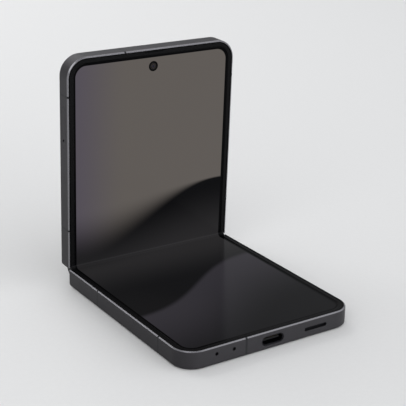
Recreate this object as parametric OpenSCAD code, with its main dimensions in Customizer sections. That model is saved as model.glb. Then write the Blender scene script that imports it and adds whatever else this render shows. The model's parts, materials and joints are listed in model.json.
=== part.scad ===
// Clamshell folding phone, standing half open on its lower half.
// Each half is drawn in its own flat frame: x across the phone, y away from the fold, z up from the back.

/* [Halves] */
// Width of the phone
body_w = 71.9; // [70:0.1:76]
// Length of each half, from its hinge end to its outer end
half_l = 81.95; // [80:0.05:90]
// Thickness of each half
body_t = 6.9; // [6.8:0.05:7.6]
// Radius of the outer corners, seen from the front
corner_r = 7.75; // [7:0.25:10]
// Thickness of the side rails
rail_t = 1.6; // [1.4:0.05:2]
// Width of the metal rim round the display
rim_w = 0.6; // [0.5:0.05:0.8]
// Width of the polished chamfer on the display edge
edge_chamfer = 0.35; // [0.2:0.05:0.45]
// Radius of the back edge of the rails
back_round = 0.8; // [0.3:0.05:0.8]
// Height of the rails above the back glass's outer face
back_step = 0.15; // [0.1:0.05:0.25]
// Width of the rail that shows round the back glass
back_rim = 1.0; // [0.8:0.05:1.2]
// Thickness of the plate under the display
mid_t = 0.6; // [0.5:0.05:0.8]

/* [Fold] */
// Opening angle between the two halves, 180 is flat
opening_angle = 88; // [60:1:140]
// Gap between the two rims when the phone is shut
closed_gap = 1.1; // [1:0.05:1.4]
// Depth of the two fold axes below the rims
axis_drop = 1.0; // [0.95:0.05:1.1]
// Half of the seam between the two rails when the phone is flat
seam_half = 0.6; // [0.55:0.05:0.7]
// Thickness of the rail that covers each end of the spine
ear_t = 1.2; // [1:0.05:1.3]

/* [Hinge spine] */
// How far the spine stands out from the hinge ends when the phone is shut
spine_reach = 3.15; // [3:0.05:3.2]
// Half width of the spine cover at its edges
spine_half_w = 5.7; // [5.5:0.05:5.8]
// Wall of the spine cover
spine_wall = 0.6; // [0.5:0.05:0.7]
// Clearance between the spine and the cavities of the halves
cavity_clear = 0.18; // [0.15:0.01:0.3]
// Gap at each end of the spine
end_gap = 0.15; // [0.1:0.05:0.3]
// Thickness of the end caps
cap_t = 0.8; // [0.6:0.1:1.2]
// Distance of each hinge unit's middle from the side of the phone
unit_side = 11.95; // [11.5:0.05:14]
// Inner radius of the arc rails on the arms
tongue_r = 1.9; // [1.8:0.05:2]
// Thickness of the arc rails
tongue_t = 0.7; // [0.6:0.05:0.75]
// Width of each arm
arm_w = 4.6; // [4:0.1:4.8]
// Thickness of the arms
arm_t = 0.65; // [0.55:0.05:0.65]
// Length of the arms, from the fold
arm_reach = 16; // [15:0.5:18]
// Running clearance of the arc rails
run_clear = 0.05; // [0.03:0.01:0.08]

/* [Display] */
// Depth of the display's face below the rim
display_drop = 0.35; // [0.3:0.05:0.4]
// Thickness of the display
display_t = 0.6; // [0.5:0.05:0.6]
// Width of the bezel trim
bezel_w = 1.8; // [1.5:0.05:2.5]
// Gap between the rim and the bezel trim
bezel_gap = 0.35; // [0.2:0.05:0.4]
// Half of the length of display that bends
fold_span = 8; // [7.5:0.25:9]
// Radius of the fold at the display's face
fold_r = 1.6; // [1.4:0.1:3]

/* [Backs] */
// Thickness of the back glass
glass_t = 0.65; // [0.55:0.05:0.7]
// Chamfer round the back glass
glass_chamfer = 0.2; // [0.1:0.05:0.3]
// Distance of the back glass from the hinge end
glass_start = 1.0; // [0.8:0.1:1.5]

/* [Keys and tray] */
// Length of the volume key
volume_l = 17.5; // [14:0.5:20]
// Distance of the volume key's middle from the outer end
volume_end = 25.55; // [25:0.05:27]
// Length of the power key
power_l = 11; // [9:0.5:13]
// Gap between the two keys
keys_apart = 7.75; // [6:0.25:9]
// Width of the keys
key_h = 2; // [1.8:0.1:2.4]
// How far the keys stand out
key_proud = 0.35; // [0.25:0.05:0.5]
// Clearance round the keys and the tray
key_clear = 0.1; // [0.08:0.01:0.15]
// Length of the SIM tray's face
tray_l = 15.4; // [15:0.1:16]
// Distance of the tray's middle from the outer end
tray_end = 26.35; // [26:0.05:28]
// Depth of the tray into the phone
tray_d = 14.5; // [14:0.5:15]

/* [Ports] */
// Width of the charging port's opening
port_w = 9; // [8.9:0.05:9.2]
// Height of the charging port's opening
port_h = 3.2; // [3.1:0.05:3.3]
// Length of the charging port's shell
port_l = 7.3; // [6.5:0.1:8]
// Diameter of the microphone holes
mic_d = 1.3; // [0.8:0.1:1.6]
// Length of the loudspeaker slot
slot_l = 9.7; // [8:0.1:12]
// Height of the loudspeaker slot
slot_h = 1.4; // [1:0.1:1.8]
// Width of the antenna bands
band_w = 0.8; // [0.5:0.1:1.2]

/* [Cameras] */
// Diameter of the rear camera rings
ring_d = 11.4; // [10:0.1:12]
// How far the rings stand out from the back glass
ring_proud = 1.1; // [0.8:0.1:1.6]
// Distance of the rear cameras from the outer end
camera_end = 12.55; // [12:0.05:13]
// Distance of the outer rear camera from the side of the phone
camera_side = 9.95; // [9.5:0.05:10.5]
// Distance between the rear cameras
camera_pitch = 13.5; // [12.5:0.25:14]
// Diameter of the hole for the front camera
front_d = 3.6; // [3:0.1:4.2]
// Distance of the front camera from the outer end
front_end = 6.85; // [6.5:0.05:7]

/* [Hidden] */
$fn = 48;

// Overlap that keeps joined shapes from only touching
bite = 0.5;
// How far the inner plates reach into the rails
root = 0.2;
// Outer end and start of the round corners, as distances from the fold
end_s = seam_half + half_l;
corner_s = end_s - corner_r;
corner_x = body_w / 2 - corner_r;
// Middle of the fold in the standing phone, whose origin is the middle of the lower back
fold_y = end_s - half_l / 2;
// Layers of a half, as heights above the back
face_z = body_t - display_drop;
panel_z = face_z - display_t;
mid_z = panel_z - mid_t;
// Distance of the display's edge from the outer faces
panel_in = rim_w + bezel_gap + 0.1;
// Easing of the rails' corners at the hinge end, at the rim and at the back
rim_ease = 0.3;
back_ease = 1;
rail_mid = (back_step + body_t) / 2;
inner_x = body_w / 2 - rail_t;
inner_s = end_s - rail_t;
// Fold axes, as a distance from the middle of the fold and a height
axis_s = closed_gap / 2 + axis_drop;
axis_z = body_t - axis_drop;
fold_each = (180 - opening_angle) / 2;
// Spine cover, an arc through its lowest point and its two edges
shut_end = closed_gap / 2 + 2 * axis_drop - seam_half;
spine_z = body_t - shut_end - spine_reach;
edge_z = body_t - shut_end + 0.2;
arc_rise = edge_z - spine_z;
spine_r = (pow(spine_half_w, 2) + pow(arc_rise, 2)) / (2 * arc_rise);
spine_cz = spine_z + spine_r;
cavity_r = norm([spine_half_w - axis_s, axis_z - edge_z]) + cavity_clear;
spine_x = body_w / 2 - ear_t - end_gap;
// Hinge wall inside each half
wall_t = 2.6;
wall_s = axis_s + cavity_r + wall_t;
pad_z = 3.5;
arm_z = panel_z - 0.05 - arm_t;
unit_x = body_w / 2 - unit_side;
unit_half = arm_w + 0.6;
base_half = unit_half + 1.2;
// Top of the hinge bases, under the loop of the shut display
base_z = body_t - 2.75;
// Distance along the half where the fold starts to bend
bend_s = axis_s + (fold_r - display_drop + axis_drop - axis_s / sin(fold_each)) * tan(fold_each);
// Places of the keys, the tray and the cameras, as distances from the fold
volume_s = end_s - volume_end;
power_s = volume_s - volume_l / 2 - keys_apart - power_l / 2;
tray_s = end_s - tray_end;
camera_s = end_s - camera_end;
front_s = end_s - front_end;
camera_x = [body_w / 2 - camera_side - camera_pitch, body_w / 2 - camera_side];
flash_x = camera_x[0] - 11;
lens_d = ring_d - 2.8;
module_w = 9.6;
// Keys: gap under each flange, thickness of the flanges, gap to the domes and height of the switches
volume_gap = 0.25;
power_gap = 0.08;
flange_t = 0.5;
dome_gap = 0.3;
switch_h = 0.9;
key_depth = volume_gap + flange_t + dome_gap + switch_h;
// Tray: its face, its plate, the socket behind it and the eject hole
tray_h = 2.6;
tray_face = 0.9;
tray_t = 1;
tray_w = tray_l - 2.4;
card_w = 8.9;
socket_wall = 0.4;
pin_d = 1.1;
pin_s = tray_s - tray_l / 2 + 2.5;
// Batteries, as [x0, s0, x1, s1], between the tray, the arms, the keys and the zones of the boards
rib_t = 0.8;
cell_fit = 0.1;
lower_zone = 14.45;
upper_zone = 20.45;
cell_x0 = -(body_w / 2 - tray_d - 0.6 - rib_t - cell_fit - 0.95);
cell_s0 = arm_reach + 2.5;
lower_cell = [cell_x0, cell_s0, inner_x - rib_t - 0.55, inner_s - lower_zone];
upper_cell = [cell_x0, cell_s0, inner_x - key_depth - rib_t - 1.8, inner_s - upper_zone];
cell_z0 = 1.45;
cell_z1 = mid_z - 0.15;
// Antenna bands, as [distances from the fold along the sides, place across the outer end]
lower_bands = [[23, end_s - 16.55], -(corner_x - 17.2)];
upper_bands = [[16, end_s - 14.3], -(corner_x - 16)];
// Openings in the lower outer end
mic_x = [-(corner_x - 5.2), -(corner_x - 12.2)];
mic_z = rail_mid + 0.65;
mic_body = 1.7;
slot_x = corner_x - slot_l / 2 - 4.85;
// Screw bosses in each half, as [x, s]
boss_d = 2.8;
boss_z = 1.95;
screw_d = 1.2;
boss_x = inner_x - 3.35;
port_boss_x = (port_w / 2 + slot_x - slot_l / 2) / 2;
lower_bosses = [
  [-boss_x, lower_cell[3] - 2.5], [-boss_x, cell_s0 + 1.5],
  [port_boss_x, inner_s - 2.45], [boss_x, lower_cell[3] + 2.2]
];
upper_bosses = [
  [-boss_x, tray_s - tray_l / 2 - 7.5], [-boss_x, cell_s0 + 1.5],
  [-boss_x, inner_s - 3.95], [upper_cell[2] - 0.3, upper_cell[3] + 2.7]
];
// Screws of the hinge arms
arm_screws_x = [-(unit_half - 2.2), unit_half - 2.2];
arm_screw_s = arm_reach - 3;
// Boards, their places from the batteries and the seam between the two shields
board_t = 0.8;
board_gap = 0.25;
sub_z = 2.3;
main_z = 3.7;
lower_s0 = lower_cell[3] + 2.5;
upper_s0 = upper_cell[3] + 4.3;
board_end = inner_s - 0.75;
parts_x = -(inner_x - 4.35);
shield_h = 1.5;
shield_wall = 0.2;
shield_seam_x = -(inner_x - 18.2);
// Main board: end of its wide part, depth of its strip beside the cameras, and the shields' distance from its edges
wide_end_x = -6;
board_strip = 7.8;
shield_in = 0.6;
// Modules inside
motor_size = [10, 11, 3.2];
motor_at = [-(inner_x - 1.35 - motor_size[0] / 2), lower_cell[3] - 11.5];
coil_d = 45;
cover_in = 2.85;

// Frames of the two halves and the spine, placed in the standing phone
module lower_place() translate([0, fold_y, 0]) mirror([0, 1, 0]) children();
module spine_place()
  translate([0, fold_y - axis_s, axis_z]) rotate([fold_each, 0, 0]) translate([0, axis_s, -axis_z]) children();
module upper_place()
  spine_place() translate([0, axis_s, axis_z]) rotate([fold_each, 0, 0])
    translate([0, -axis_s, -axis_z]) children();

// A profile in (y, z), drawn out along x
module along_x(x0, x1) translate([x0, 0, 0]) rotate([90, 0, 90]) linear_extrude(x1 - x0) children();
// A profile in (x, z), drawn out along y
module along_y(y0, y1) translate([0, y1, 0]) rotate([90, 0, 0]) linear_extrude(y1 - y0) children();

// A box [x0, y0, x1, y1], grown on all sides
function grown(box, by) = [box[0] - by, box[1] - by, box[2] + by, box[3] + by];

// Rounded rectangle between two corners
module round_rect(box, r) {
  w = box[2] - box[0];
  l = box[3] - box[1];
  translate([box[0] + r, box[1]]) square([w - 2 * r, l]);
  translate([box[0], box[1] + r]) square([w, l - 2 * r]);
  for (x = [box[0] + r, box[2] - r], y = [box[1] + r, box[3] - r]) translate([x, y]) circle(r);
}

// Slot with round ends, centred
module stadium(l, h) {
  square([l - h, h], center = true);
  for (side = [-1, 1]) translate([side * (l - h) / 2, 0]) circle(h / 2);
}

// Outline of a half, moved in from its outer faces
module half_plan(inset, s0) {
  r = corner_r - inset;
  w = body_w / 2 - inset;
  translate([-w, s0]) square([2 * w, corner_s - s0]);
  translate([-(w - r), corner_s - bite]) square([2 * (w - r), r + bite]);
  for (side = [-1, 1]) translate([side * (w - r), corner_s]) circle(r);
}

// Space between the rails, which boards and modules keep within
module inside(z0, z1) translate([0, 0, z0]) linear_extrude(z1 - z0) half_plan(rail_t + board_gap, seam_half);

// An edge profile, drawn round the two sides and the outer end. Its x is 0 at the outer face.
module round_edge(s0) {
  for (side = [0, 1]) mirror([side, 0, 0]) {
    along_y(s0, corner_s) translate([body_w / 2, 0]) children();
    translate([body_w / 2 - corner_r, corner_s, 0]) rotate_extrude(angle = 90)
      translate([corner_r, 0]) children();
  }
  translate([0, end_s, 0]) along_x(-(body_w / 2 - corner_r), body_w / 2 - corner_r) children();
}

// Plate with chamfered outer edges, whose hinge side is cut square
module edge_plate(inset, z0, z1, s0, low, high) {
  round_edge(s0) polygon(concat(
    low > 0 ? [[-inset - low, z0], [-inset, z0 + low]] : [[-inset, z0]],
    high > 0 ? [[-inset, z1 - high], [-inset - high, z1]] : [[-inset, z1]],
    [[-corner_r, z1], [-corner_r, z0]]
  ));
  translate([-(body_w / 2 - corner_r), s0, z0]) cube([body_w - 2 * corner_r, corner_s - s0, z1 - z0]);
}

// Cross-section of the side rail
module rail_profile() difference() {
  translate([-rail_t, back_step]) square([rail_t, body_t - back_step]);
  // round back edge
  translate([-back_round, back_step]) difference() {
    translate([0, -1]) square([back_round + 1, back_round + 1]);
    translate([0, back_round]) circle(back_round);
  }
  // polished chamfer on the display edge
  polygon([
    [-edge_chamfer, body_t], [-edge_chamfer, body_t + 1], [1, body_t + 1],
    [1, body_t - edge_chamfer], [0, body_t - edge_chamfer]
  ]);
  // seats of the display and the back glass
  translate([-rail_t - 1, panel_z]) square([rail_t + 1 - rim_w, body_t]);
  translate([-rail_t - 1, back_step - 1]) square([rail_t + 1 - back_rim, glass_t - back_step + 1]);
}

// A band's place in the rail, cut with the rail's own profile
module band_boxes(bands) {
  for (side = [0, 1], s = bands[0]) mirror([side, 0, 0])
    translate([inner_x, s - band_w / 2, -1]) cube([rail_t + 1, band_w, body_t + 2]);
  translate([bands[1] - band_w / 2, inner_s, -1]) cube([band_w, rail_t + 1, body_t + 2]);
}

module antenna_bands(bands) intersection() {
  round_edge(seam_half) rail_profile();
  band_boxes(bands);
}

// Pocket of one hinge arm, from the cavity to the end of the arm
module arm_pockets(gap) {
  for (side = [-1, 1]) translate([side * unit_x - unit_half - gap, 0, arm_z])
    cube([2 * (unit_half + gap), arm_reach + gap, body_t]);
}

// Frame that both halves share: rails, plate under the display, hinge wall, battery ribs and bosses
module half_frame(cell, bosses, bands) difference() {
  union() {
    difference() {
      union() {
        round_edge(seam_half) rail_profile();
        translate([0, 0, mid_z]) linear_extrude(mid_t) half_plan(rail_t - root, axis_s + 1);
        // hinge wall
        along_y(seam_half, wall_s) translate([-inner_x - root, back_step + back_round])
          square([2 * (inner_x + root), panel_z - back_step - back_round]);
        along_y(seam_half, wall_s) translate([-inner_x, back_step]) square([2 * inner_x, back_round + root]);
      }
      band_boxes(bands);
    }
    // seats of the arms
    for (side = [-1, 1]) translate([side * unit_x - unit_half - rib_t, wall_s - bite, pad_z])
      cube([2 * (unit_half + rib_t), arm_reach + 1 - wall_s + bite, mid_z - pad_z + mid_t / 2]);
    // ribs round the battery
    translate([0, 0, cell_z0]) linear_extrude(mid_z - cell_z0 + mid_t / 2) difference() {
      round_rect(grown(cell, rib_t + cell_fit), 1);
      round_rect(grown(cell, cell_fit), 0.5);
    }
    for (b = bosses) translate([b[0], b[1], boss_z]) cylinder(d = boss_d, h = mid_z - boss_z + mid_t / 2);
  }
  // cavity that the spine turns in
  along_x(-(body_w / 2 - ear_t), body_w / 2 - ear_t) translate([axis_s, axis_z]) circle(cavity_r);
  translate([0, 0, -1]) linear_extrude(1 + glass_t) half_plan(back_rim, seam_half + glass_start);
  arm_pockets(0.1);
  // eased corners at the hinge end
  along_x(-body_w, body_w) for (edge = [[body_t, rim_ease, 1], [back_step, back_ease, -1]])
    translate([seam_half, edge[0]])
      polygon([[-1, edge[2]], [edge[1] + 1, edge[2]], [-1, -edge[2] * (edge[1] + 1)]]);
  for (b = bosses) translate([b[0], b[1], boss_z - 1]) cylinder(d = screw_d + 0.1, h = 3.2);
  for (x = arm_screws_x, side = [-1, 1]) translate([side * unit_x + x, arm_screw_s, pad_z - 1])
    cylinder(d = screw_d + 0.1, h = body_t);
}

// Pan head screws along z, head down
module down_screws(places, z) for (b = places) translate([b[0], b[1], z]) {
  cylinder(d = 2.2, h = 0.4);
  cylinder(d = screw_d, h = 2);
}

module arm_screws() for (x = arm_screws_x, side = [-1, 1])
  translate([side * unit_x + x, arm_screw_s, 0]) {
    translate([0, 0, arm_z + arm_t - 0.35]) cylinder(d = 2.2, h = 0.35);
    translate([0, 0, pad_z + 0.2]) cylinder(d = screw_d, h = arm_z + arm_t - 0.1 - pad_z - 0.2);
  }

// Arc rail of one arm and the plate that carries it. The arc is centred on the half's own fold axis.
module arm_profile() {
  translate([axis_s, axis_z]) intersection() {
    difference() {
      circle(tongue_r + tongue_t);
      circle(tongue_r);
    }
    polygon(concat([[0, 0]], [for (a = [0 : 33 : 165]) 6 * [cos(a), -sin(a)]]));
  }
  translate([axis_s + tongue_r + 0.05, arm_z]) square([6, arm_t]);
}

// Both arms of a half. shift says on which side of its unit each arm lies.
module hinge_arms(shift) difference() {
  for (side = [-1, 1]) translate([side * unit_x, 0, 0]) {
    along_x(shift * (arm_w / 2 + 0.6) - arm_w / 2, shift * (arm_w / 2 + 0.6) + arm_w / 2) arm_profile();
    translate([0, 0, arm_z]) linear_extrude(arm_t)
      round_rect([-unit_half, axis_s + cavity_r + 0.5, unit_half, arm_reach], 0.8);
  }
  for (x = arm_screws_x, side = [-1, 1]) translate([side * unit_x + x, arm_screw_s, 0]) {
    cylinder(d = screw_d + 0.1, h = body_t);
    translate([0, 0, arm_z + arm_t - 0.35]) cylinder(d = 2.3, h = 1);
  }
}

// Solid outline of the inside of the spine, in (y, z)
module spine_core(half, top) intersection() {
  translate([0, spine_cz]) circle(spine_r - spine_wall);
  translate([-half, spine_z]) square([2 * half, top - spine_z]);
}

// Horn that fills the inside of an arc rail, on one side of the fold
module base_horn(side) mirror([side < 0 ? 1 : 0, 0]) intersection() {
  translate([axis_s, axis_z]) circle(tongue_r - run_clear);
  translate([1.65, base_z - 1]) square([5, body_t - 1.3 - base_z + 1]);
}

// Groove of an arc rail and the way out of its plate, on one side of the fold
module base_groove(side) mirror([side < 0 ? 1 : 0, 0]) {
  translate([axis_s, axis_z]) difference() {
    circle(tongue_r + tongue_t + run_clear);
    circle(tongue_r - run_clear);
  }
  translate([axis_s + tongue_r, arm_z - 0.1]) square([8, 4]);
}

module base_outline() {
  spine_core(4.2, base_z);
  base_horn(-1);
  base_horn(1);
}

base_hole_y = 2.4;
module base_holes(d, z0, z1) for (side = [-1, 1], end = [-1, 1], y = [-1, 1])
  translate([side * unit_x + end * (base_half + 1.5), y * base_hole_y, z0]) cylinder(d = d, h = z1 - z0);

module hinge_bases_flat() difference() {
  for (side = [-1, 1]) translate([side * unit_x, 0, 0]) {
    for (slice = [-1, 1]) {
      x = slice * (arm_w / 2 + 0.6);
      along_x(x - arm_w / 2 - 0.1, x + arm_w / 2 + 0.1) difference() {
        base_outline();
        base_groove(slice);
      }
    }
    for (wall = [[-base_half, -unit_half - 0.1], [-0.5, 0.5], [unit_half + 0.1, base_half]])
      along_x(wall[0], wall[1]) base_outline();
    for (end = [-1, 1]) {
      along_x(end > 0 ? base_half : -base_half - 3, end > 0 ? base_half + 3 : -base_half)
        spine_core(3.6, base_z);
    }
  }
  base_holes(1.1, spine_z, body_t);
  base_holes(1.9, base_z - 0.4, body_t);
}

// Stem and flange of a side key, pointing along z, with the outer face at the given height
module key_body(l, wall, proud, flange_gap) {
  half = [[0, -wall - flange_gap], [key_h / 2, -wall - flange_gap], [key_h / 2, proud - 0.15],
    [key_h / 2 - 0.15, proud], [0, proud]];
  for (end = [-1, 1]) translate([end * (l - key_h) / 2, 0, 0]) rotate_extrude() polygon(half);
  translate([0, 0, -wall - flange_gap]) linear_extrude(wall + flange_gap + proud - 0.15)
    square([l - key_h, key_h], center = true);
  translate([-(l - key_h) / 2, 0, 0]) rotate([90, 0, 90]) linear_extrude(l - key_h)
    polygon([[-key_h / 2, proud - 0.15], [-key_h / 2 + 0.15, proud], [key_h / 2 - 0.15, proud],
      [key_h / 2, proud - 0.15], [key_h / 2, 0], [-key_h / 2, 0]]);
  translate([0, 0, -wall - flange_gap - flange_t]) linear_extrude(flange_t)
    round_rect([-l / 2 - 1, -key_h / 2 - 0.6, l / 2 + 1, key_h / 2 + 0.6], 0.5);
}

// Places on the right rail, looking outward
module right_side(s) translate([body_w / 2, s, rail_mid]) rotate([0, 90, 0]) rotate([0, 0, 90]) children();
module left_side(s) translate([-body_w / 2, s, rail_mid]) rotate([0, -90, 0]) rotate([0, 0, -90]) children();
module end_side(x) translate([x, end_s, rail_mid]) rotate([-90, 0, 0]) children();

module lower_frame() color("#46484b") lower_place() difference() {
  half_frame(lower_cell, lower_bosses, lower_bands);
  end_side(0) translate([0, 0, -rail_t - 1]) linear_extrude(rail_t + 2) stadium(port_w + 0.3, port_h + 0.3);
  for (x = mic_x) translate([x, end_s + 1, mic_z]) rotate([90, 0, 0]) cylinder(d = mic_d, h = rail_t + 2);
  end_side(slot_x) translate([0, 0, -rail_t - 1]) linear_extrude(rail_t + 2) stadium(slot_l, slot_h);
}

module lower_back_glass() color("#26272a") lower_place()
  edge_plate(back_rim + 0.05, 0, glass_t, seam_half + glass_start + 0.05, glass_chamfer, 0);

// Raised trim round the display, with a sloped inner edge
module bezel() difference() {
  u = rim_w + bezel_gap;
  round_edge(bend_s + 0.2) polygon([
    [-u, face_z], [-u, body_t - 0.12], [-u - 0.15, body_t - 0.05], [-u - bezel_w + 0.5, body_t - 0.08],
    [-u - bezel_w, face_z]
  ]);
}
module lower_bezel() color("#141416") lower_place() bezel();

module panel() edge_plate(panel_in, panel_z, face_z, fold_span, 0, 0);
module lower_display() color("#1c1c20") lower_place() panel();

module lower_antenna_bands() color("#2b2c2e") lower_place() antenna_bands(lower_bands);

module cell_pack(cell) {
  translate([0, 0, cell_z0]) linear_extrude(cell_z1 - cell_z0) round_rect(cell, 1.2);
  translate([cell[0] + 6, cell[1] - 0.05, cell_z1 - 1.2]) cube([8, 1.2, 1]);
}
module lower_battery() color("#30343a") lower_place() cell_pack(lower_cell);

module charging_coil() color("#b87333") lower_place() {
  middle = [(lower_cell[0] + lower_cell[2]) / 2, (lower_cell[1] + lower_cell[3]) / 2];
  translate([middle[0], middle[1], glass_t + 0.05]) difference() {
    union() {
      cylinder(d = coil_d - 3, h = 0.3);
      translate([0, 0, 0.3]) cylinder(d = coil_d, h = 0.2);
    }
    translate([0, 0, -1]) cylinder(d = coil_d - 25, h = 1.25);
  }
}

module sub_board() color("#1f5a3c") lower_place() difference() {
  union() {
    intersection() {
      translate([0, 0, sub_z]) linear_extrude(board_t)
        round_rect([-inner_x, lower_s0, port_boss_x - 1.5, board_end], 1);
      inside(0, body_t);
    }
    // connector and parts on the board
    translate([0, lower_s0, sub_z + board_t - 0.01]) {
      translate([parts_x + 16, 1.2, 0]) cube([7, 2.6, 0.9]);
      translate([parts_x, 2, 0]) cube([4, 4, 0.7]);
      for (x = [6, 8.5, 11]) translate([parts_x + x, 4, 0]) cube([1.6, 0.8, 0.5]);
    }
  }
  translate([-(port_w / 2 + 0.5), end_s - rail_t - port_l + 0.4, 0]) cube([port_w + 1, port_l + 2, body_t]);
  translate([lower_bosses[2][0], lower_bosses[2][1], 0]) cylinder(d = boss_d + 0.4, h = body_t);
}

module usb_shell() color("#8d9094") lower_place() end_side(0) translate([0, 0, -port_l - 0.2]) difference() {
  linear_extrude(port_l) stadium(port_w + 0.1, port_h + 0.1);
  translate([0, 0, 0.6]) linear_extrude(port_l) stadium(port_w - 0.5, port_h - 0.5);
}

module usb_tongue() color("#202124") lower_place() end_side(0) translate([0, 0, -port_l + 0.4])
  linear_extrude(port_l - 1.6) round_rect([-(port_w / 2 - 1.15), -0.35, port_w / 2 - 1.15, 0.35], 0.2);

module loudspeaker() color("#2a2a2c") lower_place() {
  difference() {
    intersection() {
      translate([0, 0, 1.2]) linear_extrude(mid_z - 1.2 - 0.1)
        round_rect([port_boss_x + 2.5, lower_s0 + 0.2, inner_x, inner_s - 0.95], 1.2);
      inside(0, body_t);
    }
    translate([lower_bosses[3][0], lower_bosses[3][1], 0]) cylinder(d = boss_d + 0.4, h = body_t);
  }
  end_side(slot_x) translate([0, 0, -rail_t - 1.6]) linear_extrude(1.1) stadium(slot_l + 1.6, slot_h + 1.2);
}

module speaker_mesh() color("#101011") lower_place() end_side(slot_x)
  translate([0, 0, -1]) linear_extrude(0.3) difference() {
    stadium(slot_l, slot_h);
    for (x = [-slot_l / 2 + 0.8 : 0.7 : slot_l / 2 - 0.7], z = [-0.35, 0.35]) translate([x, z]) circle(d = 0.35);
  }

module vibration_motor() color("#a5a7aa") lower_place()
  translate([motor_at[0], motor_at[1], mid_z - 0.1 - motor_size[2]]) {
    linear_extrude(motor_size[2]) round_rect(grown([0, 0, 0, 0], motor_size[0] / 2), 1.4);
    translate([0, (motor_size[1] - motor_size[0]) / 2, 0]) linear_extrude(motor_size[2])
      round_rect(grown([0, 0, 0, 0], motor_size[0] / 2), 1.4);
    translate([-2, motor_size[1] / 2, motor_size[2] - 0.8]) cube([4, 2, 0.3]);
  }

module microphones() color("#c9b26a") lower_place() for (x = mic_x)
  translate([x - 1.7, inner_s - 2.6, sub_z + board_t]) cube([3.4, 2.35, mic_body]);

module lower_screws() color("#9a9da1") lower_place() down_screws(lower_bosses, boss_z - 0.4);

module lower_hinge_arms() color("#7f8286") lower_place() hinge_arms(-1);
module lower_arm_screws() color("#9a9da1") lower_place() arm_screws();

module hinge_cover() color("#3a3c40") spine_place() along_x(-(spine_x - cap_t), spine_x - cap_t) intersection() {
  translate([0, spine_cz]) difference() {
    circle(spine_r, $fn = 96);
    circle(spine_r - spine_wall, $fn = 96);
  }
  translate([-10, edge_z - 10]) square([20, 10]);
}

module hinge_end_caps() color("#17181a") spine_place() for (side = [0, 1]) mirror([side, 0, 0])
  along_x(spine_x - cap_t, spine_x) intersection() {
    translate([0, spine_cz]) circle(spine_r, $fn = 96);
    translate([-10, edge_z - 10]) square([20, 10]);
  }

module hinge_bases() color("#6c6f73") spine_place() hinge_bases_flat();

module hinge_base_screws() color("#9a9da1") spine_place() {
  base_holes(1.7, base_z - 0.4, base_z - 0.05);
  base_holes(1, base_z - 0.95, base_z - 0.3);
}

module fold_display() color("#1c1c20") translate([0, fold_y, 0])
  along_x(-(body_w / 2 - panel_in), body_w / 2 - panel_in) {
    translate([-fold_span, panel_z]) square([fold_span - bend_s, display_t]);
    translate([-bend_s, face_z + fold_r]) {
      intersection() {
        difference() {
          circle(fold_r + display_t);
          circle(fold_r);
        }
        polygon([[0, 0], [0, -9], 9 * [sin(fold_each), -cos(fold_each)], 9 * [sin(2 * fold_each), -cos(2 * fold_each)]]);
      }
      rotate(2 * fold_each) translate([0, -fold_r - display_t]) square([fold_span - bend_s, display_t]);
    }
  }

module upper_frame() color("#46484b") upper_place() difference() {
  half_frame(upper_cell, upper_bosses, upper_bands);
  right_side(volume_s) translate([0, 0, -rail_t - 1]) linear_extrude(rail_t + 2)
    stadium(volume_l + 2 * key_clear, key_h + 2 * key_clear);
  right_side(power_s) translate([0, 0, -rail_t - 1]) linear_extrude(rail_t + 2)
    stadium(power_l + 2 * key_clear, key_h + 2 * key_clear);
  left_side(tray_s) {
    translate([0, 0, -tray_face - 0.05]) linear_extrude(2) stadium(tray_l + 2 * key_clear, tray_h + 2 * key_clear);
    translate([0, 0, -rail_t - 1]) linear_extrude(rail_t + 2)
      square([tray_w + 2 * key_clear, tray_t + 2 * key_clear], center = true);
  }
  left_side(pin_s) translate([0, 0, -rail_t - 1]) cylinder(d = pin_d, h = rail_t + 2);
  translate([0, front_s, mid_z - 1]) cylinder(d = front_d + 0.6, h = 3);
}

module upper_back_glass() color("#0f1012") upper_place() difference() {
  edge_plate(back_rim + 0.05, 0, glass_t, seam_half + glass_start + 0.05, glass_chamfer, 0);
  for (x = camera_x) translate([x, camera_s, -1]) cylinder(d = ring_d + 0.1, h = 3);
  translate([flash_x, camera_s, -1]) cylinder(d = 3.5, h = 3);
}

module upper_bezel() color("#141416") upper_place() difference() {
  bezel();
  // slit of the earpiece
  translate([-4, end_s - rim_w - bezel_gap - 0.42, face_z - 1]) cube([8, 0.27, 3]);
}

module upper_display() color("#5a5652") upper_place() difference() {
  panel();
  translate([0, front_s, 0]) cylinder(d = front_d, h = body_t + 1);
}

module upper_antenna_bands() color("#2b2c2e") upper_place() antenna_bands(upper_bands);
module upper_battery() color("#30343a") upper_place() cell_pack(upper_cell);

module main_board() color("#1f5a3c") upper_place() difference() {
  union() {
    intersection() {
      translate([0, 0, main_z]) linear_extrude(board_t) {
        round_rect([-inner_x, upper_s0, camera_x[0] - module_w / 2 - 0.9, upper_s0 + board_strip], 1);
        round_rect([-inner_x, upper_s0, wide_end_x, board_end], 1);
      }
      inside(0, body_t);
    }
    translate([-3, upper_s0 + 0.4, main_z - 0.89]) cube([6, 2.4, 0.9]);
    for (x = [0, 6]) translate([parts_x + x, upper_s0 + 1.4, main_z + board_t - 0.01]) cube([4, 3.4, 0.45]);
  }
  translate([upper_bosses[2][0], upper_bosses[2][1], 0]) cylinder(d = boss_d + 0.4, h = body_t);
}

module board_shields() color("#b9bbbe") upper_place() for (box = [
  [-(inner_x - 5.35), upper_s0 + shield_in, shield_seam_x - 0.35, board_end - 0.8],
  [shield_seam_x + 0.35, upper_s0 + shield_in, wide_end_x - shield_in, upper_s0 + board_strip + 0.8]
])
  translate([0, 0, main_z - shield_h]) difference() {
    linear_extrude(shield_h) round_rect(box, 0.6);
    translate([0, 0, shield_wall]) linear_extrude(shield_h) round_rect(grown(box, -shield_wall), 0.4);
  }

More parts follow.
